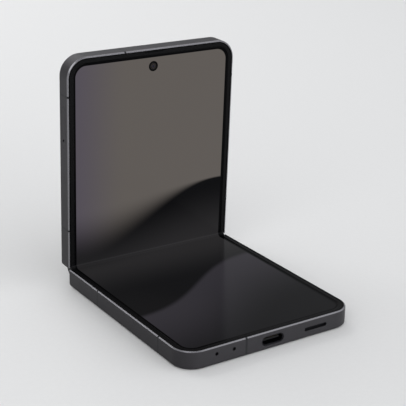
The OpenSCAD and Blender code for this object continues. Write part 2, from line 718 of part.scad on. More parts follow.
module front_camera() color("#0b0b0d") upper_place() translate([0, front_s, 0]) {
  translate([0, 0, face_z - 2.6]) cylinder(d = front_d - 0.3, h = 2.55);
  translate([-2.9, -2.7, mid_z - 2.6]) cube([5.8, 5.8, 2.5]);
}

module earpiece() color("#2a2a2c") upper_place() translate([0, 0, 1.4])
  linear_extrude(2) round_rect([shield_seam_x + 0.65, upper_s0 + board_strip + 2.4, wide_end_x + 1, board_end], 0.8);

module rear_camera_modules() color("#1a1a1c") upper_place() for (x = camera_x) translate([x, camera_s, 0]) {
  translate([0, 0, -ring_proud + 0.75]) cylinder(d = lens_d - 0.6, h = 2.5);
  translate([0, 0, 1.2]) linear_extrude(mid_z - 0.1 - 1.2)
    round_rect([-module_w / 2, -module_w / 2, module_w / 2, module_w / 2], 0.8);
}

module rear_camera_rings() color("#55585c") upper_place() for (x = camera_x) translate([x, camera_s, 0])
  rotate_extrude() polygon([
    [lens_d / 2, 1.1], [ring_d / 2, 1.1], [ring_d / 2, -ring_proud + 0.35], [ring_d / 2 - 0.35, -ring_proud],
    [lens_d / 2 + 0.45, -ring_proud], [lens_d / 2, -ring_proud + 0.25]
  ]);

module rear_camera_lenses() color("#101418") upper_place() for (x = camera_x)
  translate([x, camera_s, -ring_proud + 0.3]) cylinder(d = lens_d - 0.04, h = 0.4);

module flash_unit() color("#e9e4cf") upper_place() translate([flash_x, camera_s, 0]) {
  translate([0, 0, 0.05]) cylinder(d = 3.4, h = glass_t);
  translate([-1.9, -1.9, glass_t]) cube([3.8, 3.8, main_z - glass_t - 0.02]);
}

module cover_display() color("#08090b") upper_place() translate([0, 0, glass_t + 0.03])
  linear_extrude(0.7) round_rect([cover_in - inner_x, wall_s + 1.05, inner_x - cover_in, upper_cell[3] + 1.5], 3);

module volume_key() color("#46484b") upper_place() right_side(volume_s) key_body(volume_l, rail_t, key_proud, volume_gap);
module power_key() color("#3c3e41") upper_place() right_side(power_s) key_body(power_l, rail_t, key_proud, power_gap);

// Dome switches behind the keys, on one flexible strip
module key_switches() color("#b08d3f") upper_place() {
  dome_s = volume_l / 2 - 3.25;
  for (key = [[volume_s - dome_s, volume_gap], [volume_s + dome_s, volume_gap], [power_s, power_gap]])
    right_side(key[0]) translate([0, 0, -rail_t - key[1] - flange_t - dome_gap]) {
      translate([0, 0, -0.35]) cylinder(d = 2, h = 0.35);
      translate([-1.5, -1.2, -switch_h]) cube([3, 2.4, 0.6]);
    }
  translate([inner_x - flange_t - dome_gap - 1.3, power_s - 3, rail_mid - 1])
    cube([0.4, volume_s - power_s + dome_s + 5, 2]);
}

module sim_tray() color("#46484b") upper_place() left_side(tray_s) difference() {
  union() {
    translate([0, 0, -tray_face]) linear_extrude(tray_face) stadium(tray_l, tray_h);
    translate([0, 0, -tray_d]) linear_extrude(tray_d - 0.1) square([tray_w, tray_t], center = true);
  }
  // seat of the card
  translate([-0.3, 0, -(tray_face + tray_d) / 2]) cube([card_w, 4, tray_d - tray_face - 1.2], center = true);
  translate([tray_s - pin_s, 0, -3]) cylinder(d = pin_d, h = 4);
}

module sim_socket() color("#b9bbbe") upper_place() left_side(tray_s) translate([0, 0, -tray_d - 0.6]) difference() {
  linear_extrude(tray_d - 1.3)
    square([tray_w + 2 * (key_clear + socket_wall), tray_t + 2 * key_clear + 0.6], center = true);
  translate([0, 0, socket_wall]) linear_extrude(tray_d)
    square([tray_w + 2 * key_clear, tray_t + 2 * key_clear], center = true);
}

module upper_screws() color("#9a9da1") upper_place() down_screws(upper_bosses, boss_z - 0.4);
module upper_hinge_arms() color("#7f8286") upper_place() hinge_arms(1);
module upper_arm_screws() color("#9a9da1") upper_place() arm_screws();

lower_frame();
lower_back_glass();
lower_bezel();
lower_display();
lower_antenna_bands();
lower_battery();
charging_coil();
sub_board();
usb_shell();
usb_tongue();
loudspeaker();
speaker_mesh();
vibration_motor();
microphones();
lower_screws();
lower_hinge_arms();
lower_arm_screws();
hinge_cover();
hinge_end_caps();
hinge_bases();
hinge_base_screws();
fold_display();
upper_frame();
upper_back_glass();
upper_bezel();
upper_display();
upper_antenna_bands();
upper_battery();
main_board();
board_shields();
front_camera();
earpiece();
rear_camera_modules();
rear_camera_rings();
rear_camera_lenses();
flash_unit();
cover_display();
volume_key();
power_key();
key_switches();
sim_tray();
sim_socket();
upper_screws();
upper_hinge_arms();
upper_arm_screws();
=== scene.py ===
import json
import math
import bmesh
import bpy
from mathutils import Matrix, Vector


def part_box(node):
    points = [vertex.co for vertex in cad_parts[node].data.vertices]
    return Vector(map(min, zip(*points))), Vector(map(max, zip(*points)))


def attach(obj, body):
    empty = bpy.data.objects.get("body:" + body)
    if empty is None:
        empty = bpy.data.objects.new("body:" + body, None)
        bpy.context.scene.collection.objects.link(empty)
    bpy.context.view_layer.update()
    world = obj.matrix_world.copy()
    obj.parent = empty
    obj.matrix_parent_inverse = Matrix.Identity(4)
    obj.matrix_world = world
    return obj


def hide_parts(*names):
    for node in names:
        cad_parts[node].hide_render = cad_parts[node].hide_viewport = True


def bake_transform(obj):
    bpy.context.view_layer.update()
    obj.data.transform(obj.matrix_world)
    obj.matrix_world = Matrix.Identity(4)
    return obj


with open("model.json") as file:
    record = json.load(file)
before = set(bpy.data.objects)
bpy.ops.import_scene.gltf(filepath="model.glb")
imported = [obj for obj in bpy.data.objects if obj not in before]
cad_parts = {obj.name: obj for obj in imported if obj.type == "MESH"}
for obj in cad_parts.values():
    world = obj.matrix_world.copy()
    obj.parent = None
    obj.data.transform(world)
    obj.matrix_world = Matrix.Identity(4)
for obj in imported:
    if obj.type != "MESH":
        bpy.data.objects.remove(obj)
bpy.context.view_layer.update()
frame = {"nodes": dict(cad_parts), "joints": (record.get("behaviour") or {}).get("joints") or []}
mm = 0.001  # the frame is in metres, the sizes below are in millimetres


# Colour as it looks on screen, 0 to 255
def srgb(r, g, b):
    linear = [c / 255 / 12.92 if c <= 10 else ((c / 255 + 0.055) / 1.055) ** 2.4 for c in (r, g, b)]
    return (*linear, 1.0)


# Each half has its own flat frame: x across, s away from the fold, z up from the back
pivots = {joint["name"]: Vector(joint["pos_m"]) / mm for joint in frame["joints"] if joint.get("pos_m")}
lowerPivot, upperPivot = pivots["fold_lower"], pivots["fold_upper"]
foldEach = math.atan2(upperPivot.z - lowerPivot.z, upperPivot.y - lowerPivot.y)
axisS, axisZ = (upperPivot - lowerPivot).length / 2, lowerPivot.z
foldY = lowerPivot.y + axisS
toWorld = {
    "lower": Matrix.Translation((0, foldY, 0)) @ Matrix.Diagonal((1, -1, 1, 1)),
    "upper": Matrix.Translation((0, upperPivot.y, upperPivot.z))
    @ Matrix.Rotation(2 * foldEach, 4, "X")
    @ Matrix.Translation((0, -axisS, -axisZ)),
}
phone = {
    "halfWidth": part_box("lower_frame")[1].x / mm,
    "thickness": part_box("lower_frame")[1].z / mm,
    "endS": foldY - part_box("lower_frame")[0].y / mm,
    "cornerR": 7.75,
    "rim": 0.6,
    "chamfer": 0.35,
    "bezelGap": 0.35,
    "bezelWidth": 1.8,
    "displayDrop": 0.35,
}
faceZ = phone["thickness"] - phone["displayDrop"]
print("frame: fold at", round(foldY, 2), "mm, each half turned", round(math.degrees(foldEach), 1), "degrees")


# Shader nodes, by short calls; numbers are constants and sockets are linked
def put(tree, kind, inputs=None, **settings):
    made = tree.nodes.new("ShaderNode" + kind)
    for key, value in settings.items():
        setattr(made, key, value)
    for key, value in (inputs or {}).items():
        if isinstance(value, bpy.types.NodeSocket):
            tree.links.new(value, made.inputs[key])
        else:
            made.inputs[key].default_value = value
    return made


def calc(tree, operation, a, b=0.0):
    return put(tree, "Math", {0: a, 1: b}, operation=operation).outputs[0]


def smooth(tree, value, low, high, toLow=0.0, toHigh=1.0):
    inputs = {"Value": value, "From Min": low, "From Max": high, "To Min": toLow, "To Max": toHigh}
    return put(tree, "MapRange", inputs, interpolation_type="SMOOTHSTEP").outputs[0]


def wave(tree, value, length):
    return calc(tree, "SINE", calc(tree, "MULTIPLY", value, 2 * math.pi / length))


def mixColour(tree, factor, a, b):
    return put(tree, "Mix", {0: factor, 6: a, 7: b}, data_type="RGBA").outputs[2]


def noise(tree, place, scale, detail=2.0, rough=0.5):
    inputs = {"Vector": place, "Scale": scale, "Detail": detail, "Roughness": rough}
    return put(tree, "TexNoise", inputs).outputs[0]


def bump(tree, shader, height, distance, strength=1.0):
    made = put(tree, "Bump", {"Height": height, "Distance": distance * mm, "Strength": strength})
    tree.links.new(made.outputs[0], shader.inputs["Normal"])


def roughen(tree, shader, grain, rough):
    tree.links.new(smooth(tree, grain, 0.3, 0.7, *rough), shader.inputs["Roughness"])


def newMaterial(name, **values):
    material = bpy.data.materials.new(name)
    material.use_nodes = True
    tree = material.node_tree
    shader = next(node for node in tree.nodes if node.type == "BSDF_PRINCIPLED")
    for key, value in values.items():
        shader.inputs[key].default_value = value
    return material, tree, shader


# Place on a half in millimetres, in the half's flat frame; a piece that bends has it stored in its mesh
def flatPlace(tree, half, blended=False):
    if blended:
        return put(tree, "Attribute", attribute_name="flatPlace").outputs["Vector"]
    back = toWorld[half].inverted()
    turn = back.to_quaternion().to_euler() if half == "upper" else (0, 0, 0)
    size = (1 / mm, (1 if half == "upper" else -1) / mm, 1 / mm)
    inputs = {"Vector": put(tree, "TexCoord").outputs["Object"], "Location": back.to_translation()}
    return put(tree, "Mapping", {**inputs, "Rotation": turn, "Scale": size}).outputs[0]


def worldPlace(tree):
    inputs = {"Vector": put(tree, "TexCoord").outputs["Object"], "Scale": (1 / mm, 1 / mm, 1 / mm)}
    return put(tree, "Mapping", inputs).outputs[0]


def split(tree, vector):
    return put(tree, "SeparateXYZ", {0: vector}).outputs


def reachFrom(tree, a, b):
    squares = calc(tree, "ADD", calc(tree, "POWER", a, 2.0), calc(tree, "POWER", b, 2.0))
    return calc(tree, "SQRT", squares)


# Distance from the centre of a corner's rounding, which lies at the given depth from the outer faces
def cornerReach(tree, x, s, inset):
    across = calc(tree, "SUBTRACT", calc(tree, "ABSOLUTE", x), phone["halfWidth"] - inset)
    along = calc(tree, "SUBTRACT", calc(tree, "ABSOLUTE", s), phone["endS"] - inset)
    return reachFrom(tree, calc(tree, "MAXIMUM", across, 0.0), calc(tree, "MAXIMUM", along, 0.0))


# Depth from the outer faces of a half
def depthIn(tree, x, s):
    return calc(tree, "SUBTRACT", phone["cornerR"], cornerReach(tree, x, s, phone["cornerR"]))


# Blasted and anodised aluminium: a polished edge on the display side, and painted shade, near black, inside
# the rim towards its top
rail = {
    "tone": srgb(61, 60, 62),
    "lineTone": srgb(71, 70, 73),
    "edgeTone": srgb(130, 129, 133),
    # painted shade inside the rim, faded in between the heights below, in mm
    "wellShadeTone": srgb(5, 5, 6),
    "wellShadeZ": (5.5, 5.8),
    "rough": (0.48, 0.58),
    "edgeRough": (0.24, 0.3),
    "edgeGrain": 0.15,
    "grainPerMm": 5.0,
    "grainDepth": 0.006,
    "linesPerMm": 9.0,
    "cloudsPerMm": 0.08,
}


def railMetal(half):
    material, tree, shader = newMaterial("railMetal_" + half, Metallic=1.0)
    place = flatPlace(tree, half)
    x, s, z = split(tree, place)
    grain = noise(tree, place, rail["grainPerMm"], 4.0, 0.6)
    lineInputs = {"W": z, "Scale": rail["linesPerMm"], "Detail": 3.0}
    lines = put(tree, "TexNoise", lineInputs, noise_dimensions="1D").outputs[0]
    fade = smooth(tree, noise(tree, place, rail["cloudsPerMm"]), 0.2, 0.9, 0.5, 1.0)
    lineFactor = calc(tree, "MULTIPLY", smooth(tree, lines, 0.35, 0.7), fade)
    edgeStart = phone["thickness"] - phone["chamfer"]
    edge = smooth(tree, z, edgeStart - 0.05, edgeStart + 0.02)
    depth = smooth(tree, depthIn(tree, x, s), phone["rim"] - 0.06, phone["rim"] - 0.01)
    # painted shade inside the rim, where the gap to the bezel lies in shade
    wellShade = calc(tree, "MULTIPLY", depth, smooth(tree, z, *rail["wellShadeZ"]))
    body = mixColour(tree, lineFactor, rail["tone"], rail["lineTone"])
    outside = mixColour(tree, edge, body, rail["edgeTone"])
    tree.links.new(mixColour(tree, wellShade, outside, rail["wellShadeTone"]), shader.inputs["Base Color"])
    rough = smooth(tree, grain, 0.3, 0.7, *rail["rough"])
    edgeRough = smooth(tree, grain, 0.3, 0.7, *rail["edgeRough"])
    roughness = put(tree, "Mix", {0: edge, 2: rough, 3: edgeRough}).outputs[0]
    tree.links.new(roughness, shader.inputs["Roughness"])
    blasted = calc(tree, "MULTIPLY", grain, smooth(tree, edge, 0.0, 1.0, 1.0, rail["edgeGrain"]))
    bump(tree, shader, blasted, rail["grainDepth"], 0.5)
    return material


# Moulded insulating bands in the rails
band = {
    "toneA": srgb(22, 23, 25),
    "toneB": srgb(29, 30, 32),
    "rough": (0.42, 0.52),
    "specular": 0.2,
    "grainPerMm": 7.0,
    "grainDepth": 0.004,
}


def bandPlastic(half):
    material, tree, shader = newMaterial("bandPlastic_" + half)
    grain = noise(tree, flatPlace(tree, half), band["grainPerMm"], 3.0)
    tree.links.new(mixColour(tree, grain, band["toneA"], band["toneB"]), shader.inputs["Base Color"])
    roughen(tree, shader, grain, band["rough"])
    shader.inputs["Specular IOR Level"].default_value = band["specular"]
    bump(tree, shader, grain, band["grainDepth"], 0.5)
    return material


# Raised trim round the display: satin on top, with painted shade, near black, on its outer wall and its inner
# slope
trim = {
    # painted shade on the trim's outer wall and inner slope
    "wall": srgb(3, 3, 4),
    "topA": srgb(7, 7, 8),
    "topB": srgb(12, 12, 13),
    "wallShadeEdge": (0.02, 0.12),  # reach of the painted shade from the trim's outer side
    "slopeShadeEdge": (0.4, 0.55),  # reach of the painted shade from its inner side
    "rough": (0.42, 0.55),
    "specular": 0.05,
    "grainPerMm": 6.0,
    "grainDepth": 0.006,
}


def bezelRubber(half, blended=False):
    material, tree, shader = newMaterial("bezelRubber_" + half + ("_fold" if blended else ""))
    place = flatPlace(tree, half, blended)
    x, s, _ = split(tree, place)
    grain = noise(tree, place, trim["grainPerMm"], 3.0)
    depth = depthIn(tree, x, s)
    start = phone["rim"] + phone["bezelGap"]
    stop = start + phone["bezelWidth"]
    # painted shade near both sides of the trim, with the satin top between
    outer = smooth(tree, depth, *(start + edge for edge in trim["wallShadeEdge"]))
    inner = smooth(tree, depth, *(stop - edge for edge in trim["slopeShadeEdge"]))
    onTop = calc(tree, "MULTIPLY", outer, inner)
    top = mixColour(tree, grain, trim["topA"], trim["topB"])
    tree.links.new(mixColour(tree, onTop, trim["wall"], top), shader.inputs["Base Color"])
    roughen(tree, shader, grain, trim["rough"])
    shader.inputs["Specular IOR Level"].default_value = trim["specular"]
    bump(tree, shader, grain, trim["grainDepth"], 0.4)
    return material


# Dunes of light on the display, from the lower outer end (t below 0) to the upper outer end (t above 0)
paper = {
    "warm": srgb(95, 90, 86),
    "violet": srgb(83, 78, 87),
    "deep": srgb(8, 8, 9),
    "slope": srgb(40, 39, 40),
    "night": srgb(20, 20, 21),
    "haze": srgb(50, 48, 53),
    "upperDune": {"t": 22.0, "height": 4.5, "spread": 19, "soft": (0.6, 16.0)},
    "lowerDune": {"t": -34.0, "height": 5.0, "spread": 13, "lean": 0.35},
}


def duneLine(tree, x, dune):
    swing = calc(tree, "SINE", calc(tree, "MULTIPLY", x, 1 / dune["spread"]))
    return calc(tree, "MULTIPLY", swing, dune["height"])


def wallpaper(tree, x, t):
    upper, lower = paper["upperDune"], paper["lowerDune"]
    above = calc(tree, "SUBTRACT", t, calc(tree, "ADD", duneLine(tree, x, upper), upper["t"]))
    rise = calc(tree, "DIVIDE", above, smooth(tree, x, 30.0, -30.0, *upper["soft"]))
    crest = smooth(tree, rise, -1.0, 0.4)
    sky = mixColour(tree, smooth(tree, x, -10.0, -36.0), paper["warm"], paper["violet"])
    foot = mixColour(tree, smooth(tree, above, -2.0, -26.0), paper["deep"], paper["slope"])
    top = mixColour(tree, crest, foot, sky)
    ridge = calc(tree, "ADD", duneLine(tree, x, lower), calc(tree, "MULTIPLY", x, lower["lean"]))
    below = calc(tree, "SUBTRACT", calc(tree, "ADD", ridge, lower["t"]), t)
    plain = mixColour(tree, smooth(tree, below, 0.0, 44.0), paper["haze"], paper["night"])
    far = mixColour(tree, smooth(tree, t, -2.0, -30.0), top, paper["night"])
    return mixColour(tree, smooth(tree, below, -0.5, 3.0), far, plain)


# Laminated flexible display: a lit area with round corners in a black border, under a glossy film
screen = {
    "activeInset": 3.45,
    "activeR": 4.3,
    "border": srgb(4, 4, 5),
    "holeR": 1.95,
    "holeS": 75.7,
    "edgeSoft": 0.04,
    "rough": 0.16,
    "specular": 0.025,
    "ripplesPerMm": 0.12,
    "rippleDepth": 0.05,
}


def screenGlass(half, blended=False):
    material, tree, shader = newMaterial("screenGlass_" + half + ("_fold" if blended else ""))
    place = flatPlace(tree, half, blended)
    x, s, _ = split(tree, place)
    t = calc(tree, "MULTIPLY", s, 1.0 if half == "upper" else -1.0)
    soft = screen["edgeSoft"]
    reach = cornerReach(tree, x, s, screen["activeInset"] + screen["activeR"])
    active = smooth(tree, reach, screen["activeR"] + soft, screen["activeR"] - soft)
    holeReach = reachFrom(tree, x, calc(tree, "SUBTRACT", t, screen["holeS"]))
    besideHole = smooth(tree, holeReach, screen["holeR"] - soft, screen["holeR"] + soft)
    lit = calc(tree, "MULTIPLY", active, besideHole)
    picture = mixColour(tree, lit, (0, 0, 0, 1), wallpaper(tree, x, t))
    tree.links.new(picture, shader.inputs["Emission Color"])
    shader.inputs["Emission Strength"].default_value = 1.0
    shader.inputs["Base Color"].default_value = screen["border"]
    shader.inputs["Specular IOR Level"].default_value = screen["specular"]
    shader.inputs["Roughness"].default_value = screen["rough"]
    bump(tree, shader, noise(tree, place, screen["ripplesPerMm"]), screen["rippleDepth"], 0.35)
    return material


# Plain procedural finishes for the other pieces; stretch draws the grain out along an axis
def finish(name, toneA, toneB, rough, grainPerMm, depth, metal=0.0, stretch=(1, 1, 1), specular=0.5):
    material, tree, shader = newMaterial(name, Metallic=metal)
    shader.inputs["Specular IOR Level"].default_value = specular
    place = put(tree, "Mapping", {"Vector": worldPlace(tree), "Scale": stretch}).outputs[0]
    grain = noise(tree, place, grainPerMm, 3.0)
    tree.links.new(mixColour(tree, grain, toneA, toneB), shader.inputs["Base Color"])
    roughen(tree, shader, grain, rough)
    bump(tree, shader, grain, depth, 0.5)
    return material


# Coated lens stacks seen through their glass: dark pupil, tinted coating and blackened steps
lens = {
    "pupilMiddle": srgb(6, 8, 16),
    "pupilRim": srgb(20, 22, 40),
    "stepTone": srgb(12, 12, 13),
    "outerTone": srgb(5, 5, 6),
}


# One lens, or two that lie alike on both sides of their middle
def lensCoat(name, centres, pupilR, stepWidth, outerR, iris, specular=0.5):
    material, tree, shader = newMaterial(name, Roughness=0.05)
    shader.inputs["Specular IOR Level"].default_value = specular
    x, s, _ = split(tree, flatPlace(tree, "upper"))
    middle = sum(c[0] for c in centres) / len(centres)
    apart = abs(centres[0][0] - middle)
    across = calc(tree, "SUBTRACT", calc(tree, "ABSOLUTE", calc(tree, "SUBTRACT", x, middle)), apart)
    reach = reachFrom(tree, across, calc(tree, "SUBTRACT", s, centres[0][1]))
    steps = smooth(tree, wave(tree, reach, stepWidth), -0.2, 0.5)
    pupil = mixColour(tree, smooth(tree, reach, 0.0, pupilR), lens["pupilMiddle"], lens["pupilRim"])
    cone = mixColour(tree, steps, lens["stepTone"], iris)
    inner = mixColour(tree, smooth(tree, reach, pupilR - 0.04, pupilR + 0.04), pupil, cone)
    tone = mixColour(tree, smooth(tree, reach, outerR - 0.05, outerR + 0.05), inner, lens["outerTone"])
    tree.links.new(tone, shader.inputs["Base Color"])
    bump(tree, shader, noise(tree, flatPlace(tree, "upper"), 0.4, 1.0), 0.01, 0.2)
    return material


# Moulded lens of the flash, with fine rings in its surface and a painted highlight along them
flash = {
    "x": 1.5,
    "s": 70.0,
    "ringWidth": 0.32,
    "ringDepth": 0.02,
    "coreR": (0.4, 1.0),
    "coreTone": srgb(206, 178, 84),
    "outerTone": srgb(232, 222, 184),
    "ringHighlightTone": srgb(244, 238, 214),
}


def flashLens():
    material, tree, shader = newMaterial("flashDiffuser", Roughness=0.25)
    x, s, _ = split(tree, flatPlace(tree, "upper"))
    reach = reachFrom(tree, calc(tree, "SUBTRACT", x, flash["x"]), calc(tree, "SUBTRACT", s, flash["s"]))
    rings = wave(tree, reach, flash["ringWidth"])
    core = mixColour(tree, smooth(tree, reach, *flash["coreR"]), flash["coreTone"], flash["outerTone"])
    # painted highlight along the rings
    tone = mixColour(tree, smooth(tree, rings, -0.6, 0.6, 0.0, 0.3), core, flash["ringHighlightTone"])
    tree.links.new(tone, shader.inputs["Base Color"])
    bump(tree, shader, rings, flash["ringDepth"], 0.6)
    return material


# Wound copper, with its turns as rings round the coil's centre and painted shade in the grooves between them
coil = {
    "turnWidth": 0.55,
    "turnDepth": 0.05,
    "grooveShadeTone": srgb(92, 50, 28),
    "wireTone": srgb(188, 116, 70),
    "rough": (0.25, 0.4),
}


def coilWire():
    material, tree, shader = newMaterial("copperCoil", Metallic=1.0)
    low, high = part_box("charging_coil")
    middle = (low + high) / 2 / mm
    place = worldPlace(tree)
    x, y, _ = split(tree, place)
    reach = reachFrom(tree, calc(tree, "SUBTRACT", x, middle.x), calc(tree, "SUBTRACT", y, middle.y))
    turns = wave(tree, reach, coil["turnWidth"])
    grain = noise(tree, place, 8.0, 3.0)
    # painted shade in the grooves between the turns
    tone = mixColour(tree, smooth(tree, turns, -0.9, 0.2), coil["grooveShadeTone"], coil["wireTone"])
    tree.links.new(tone, shader.inputs["Base Color"])
    roughen(tree, shader, grain, coil["rough"])
    bump(tree, shader, turns, coil["turnDepth"], 0.6)
    return material


# Circuit board: solder mask over tracks, with plated pads
board = {
    "maskA": srgb(20, 66, 44),
    "maskB": srgb(28, 82, 56),
    "trackTone": srgb(44, 110, 74),
    "padTone": srgb(196, 166, 92),
    "padsPerMm": 0.9,
    "tracksPerMm": 1.6,
    "copperDepth": 0.02,
}


def cells(tree, place, perMm, distance):
    inputs = {"Vector": place, "Scale": perMm}
    return put(tree, "TexVoronoi", inputs, distance=distance).outputs["Distance"]


def boardMask():
    material, tree, shader = newMaterial("boardLaminate", Roughness=0.4)
    place = worldPlace(tree)
    track = smooth(tree, cells(tree, place, board["tracksPerMm"], "MANHATTAN"), 0.5, 0.54)
    pad = smooth(tree, cells(tree, place, board["padsPerMm"], "CHEBYCHEV"), 0.16, 0.13)
    mask = mixColour(tree, noise(tree, place, 2.0, 3.0), board["maskA"], board["maskB"])
    tracked = mixColour(tree, track, mask, board["trackTone"])
    tree.links.new(mixColour(tree, pad, tracked, board["padTone"]), shader.inputs["Base Color"])
    tree.links.new(pad, shader.inputs["Metallic"])
    bump(tree, shader, calc(tree, "ADD", track, pad), board["copperDepth"], 0.5)
    return material


# Finishes by their short names; the cameras' centres are x and s on the upper half
rearCentres = [(12.5, 70.0), (26.0, 70.0)]
frontCentres = [(0.0, screen["holeS"])]
alongX = (0.03, 1, 1)  # grain drawn out along x
finishes = {
    "lowerGlass": finish("lowerGlass", srgb(44, 45, 48), srgb(50, 51, 54), (0.3, 0.36), 9.0, 0.002),
    "upperGlass": finish(
        "upperGlass", srgb(8, 8, 10), srgb(11, 11, 13), (0.05, 0.08), 1.0, 0.001, specular=0.3
    ),
    "cellWrap": finish("cellWrap", srgb(40, 43, 48), srgb(54, 57, 62), (0.25, 0.4), 1.5, 0.02),
    "copper": coilWire(),
    "laminate": boardMask(),
    "steel": finish("stampedSteel", srgb(134, 136, 140), srgb(160, 162, 166), (0.28, 0.42), 3.0, 0.006, 1.0),
    "portSteel": finish("portSteel", srgb(38, 38, 41), srgb(48, 48, 51), (0.38, 0.5), 6.0, 0.004, 1.0),
    "screwSteel": finish(
        "screwSteel", srgb(150, 152, 156), srgb(176, 178, 182), (0.2, 0.32), 5.0, 0.004, 1.0
    ),
    "blackPlastic": finish(
        "blackPlastic", srgb(12, 12, 13), srgb(18, 18, 19), (0.4, 0.55), 6.0, 0.008, specular=0.15
    ),
    "eyeBlack": finish("eyeBlack", srgb(5, 5, 6), srgb(9, 9, 10), (0.45, 0.6), 9.0, 0.004, specular=0.02),
    "meshMetal": finish("meshMetal", srgb(26, 26, 28), srgb(38, 38, 41), (0.35, 0.5), 9.0, 0.004, 1.0),
    "spineMetal": finish(
        "spineMetal", srgb(72, 73, 77), srgb(80, 81, 86), (0.24, 0.3), 9.0, 0.003, 1.0, alongX
    ),
    "ringMetal": finish("ringMetal", srgb(98, 100, 104), srgb(120, 122, 126), (0.14, 0.2), 5.0, 0.002, 1.0),
    "lensGlass": lensCoat("rearLensCoat", rearCentres, 1.15, 0.62, 3.3, srgb(34, 34, 38)),
    "frontLens": lensCoat("frontLensCoat", frontCentres, 0.42, 0.5, 1.3, srgb(46, 40, 37), 0.12),
    "flash": flashLens(),
    "gold": finish("contactGold", srgb(200, 168, 92), srgb(218, 188, 112), (0.2, 0.3), 6.0, 0.004, 1.0),
}
for half in ("lower", "upper"):
    finishes["rail_" + half] = railMetal(half)
    finishes["band_" + half] = bandPlastic(half)
    finishes["bezel_" + half] = bezelRubber(half)
    finishes["bezelFold_" + half] = bezelRubber(half, True)
    finishes["screen_" + half] = screenGlass(half)
    finishes["screenFold_" + half] = screenGlass(half, True)

# The CAD pieces that wear each finish
worn = {
    "rail_lower": ["lower_frame"],
    "rail_upper": ["upper_frame", "volume_key", "power_key", "sim_tray"],
    "band_lower": ["lower_antenna_bands"],
    "band_upper": ["upper_antenna_bands"],
    "lowerGlass": ["lower_back_glass"],
    "upperGlass": ["upper_back_glass"],
    "bezel_lower": ["lower_bezel"],
    "bezel_upper": ["upper_bezel"],
    "screen_lower": ["lower_display"],
    "screen_upper": ["upper_display"],
    "cellWrap": ["lower_battery", "upper_battery"],
    "copper": ["charging_coil"],
    "laminate": ["sub_board", "main_board"],
    "steel": [
        "board_shields", "vibration_motor", "sim_socket",
        "lower_hinge_arms", "upper_hinge_arms", "hinge_bases",
    ],
    "portSteel": ["usb_shell"],
    "screwSteel": [
        "lower_screws", "upper_screws", "lower_arm_screws", "upper_arm_screws", "hinge_base_screws",
    ],
    "blackPlastic": [
        "usb_tongue", "loudspeaker", "earpiece", "front_camera", "rear_camera_modules",
        "cover_display", "hinge_end_caps", "microphones",
    ],
    "meshMetal": ["speaker_mesh"],
    "spineMetal": ["hinge_cover"],
    "ringMetal": ["rear_camera_rings"],
    "lensGlass": ["rear_camera_lenses"],
    "flash": ["flash_unit"],
    "gold": ["key_switches"],
}
for finishName, nodeNames in worn.items():
    for nodeName in nodeNames:
        piece = frame["nodes"][nodeName]
        piece.data.materials.clear()
        piece.data.materials.append(finishes[finishName])
print("finishes:", len(finishes), "on", sum(map(len, worn.values())), "pieces")


sharpTurn = 0.6  # radians between two faces


# Mesh in millimetres of the rest frame, smooth between its sharp edges; flat has the places in the flat frame
def addPiece(name, points, faces, material, body=None, flat=None):
    mesh = bpy.data.meshes.new(name)
    mesh.from_pydata([Vector(p) * mm for p in points], [], faces)
    work = bmesh.new()
    work.from_mesh(mesh)
    if flat:
        layer = work.verts.layers.float_vector.new("flatPlace")
        for vertex, place in zip(work.verts, flat):
            vertex[layer] = place
    bmesh.ops.recalc_face_normals(work, faces=work.faces)
    sharp = [edge for edge in work.edges if edge.calc_face_angle(0.0) > sharpTurn]
    bmesh.ops.split_edges(work, edges=sharp)
    for face in work.faces:
        face.smooth = True
    work.to_mesh(mesh)
    work.free()
    mesh.materials.append(material)
    piece = bpy.data.objects.new(name, mesh)
    bpy.context.scene.collection.objects.link(piece)
    if body:
        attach(piece, body)
    return piece


# Skin between rings of points: with its two ends closed, or looped from the last ring to the first
def skin(rings, looped=False):
    count = len(rings[0])
    points = [p for ring in rings for p in ring]
    faces = []
    for i in range(len(rings) if looped else len(rings) - 1):
        n = (i + 1) % len(rings)
        for j in range(count):
            k = (j + 1) % count
            faces.append((i * count + j, i * count + k, n * count + k, n * count + j))
    if not looped:
        faces.append(tuple(range(count)))
        faces.append(tuple((len(rings) - 1) * count + j for j in range(count)))
    return points, faces


# The loop of the fold, from the lower straight stretch to the upper one
fold = {
    "radius": 1.6,
    "panel": 0.6,
    "span": 8.0,
    "underBezel": 0.1,
    "columns": 24,
    "arcSteps": 24,
    "straightSteps": 6,
    "bezelStart": 0.2,
    "bezelRise": 0.3,
    "wallRise": 0.23,
    "wallBevel": 0.15,
    "slopeRise": 0.27,
    "slopeWidth": 0.5,
    "blendMargin": 0.5,
}
bendS = axisS + (
    fold["radius"] - phone["displayDrop"] + (phone["thickness"] - axisZ) - axisS / math.sin(foldEach)
) * math.tan(foldEach)
arcCentre = Vector((0, foldY - bendS, faceZ + fold["radius"]))


# Places on the display's face, each with its inward normal and its distance s from the middle of the fold
def foldPath(half, startS):
    path = []
    for i in range(fold["straightSteps"]):
        s = startS + (bendS - startS) * i / fold["straightSteps"]
        place = Vector((0, foldY - s, faceZ))
        path.append((place, Vector((0, 0, 1)), s))
    for i in range(fold["arcSteps"] + 1):
        share = i / fold["arcSteps"]
        angle = -math.pi / 2 + foldEach * share
        outward = Vector((0, math.cos(angle), math.sin(angle)))
        path.append((arcCentre + outward * fold["radius"], -outward, bendS * (1 - share)))
    if half == "lower":
        return path
    middle = Vector((0, math.cos(foldEach), math.sin(foldEach)))
    anchor = path[-1][0]
    mirrored = []
    for place, normal, s in path:
        offset = (place - anchor).dot(middle)
        mirrored.append((place - 2 * offset * middle, normal - 2 * normal.dot(middle) * middle, s))
    return mirrored


def blendAtFold(piece, half):
    if half == "lower":
        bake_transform(piece)
    else:
        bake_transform(piece)


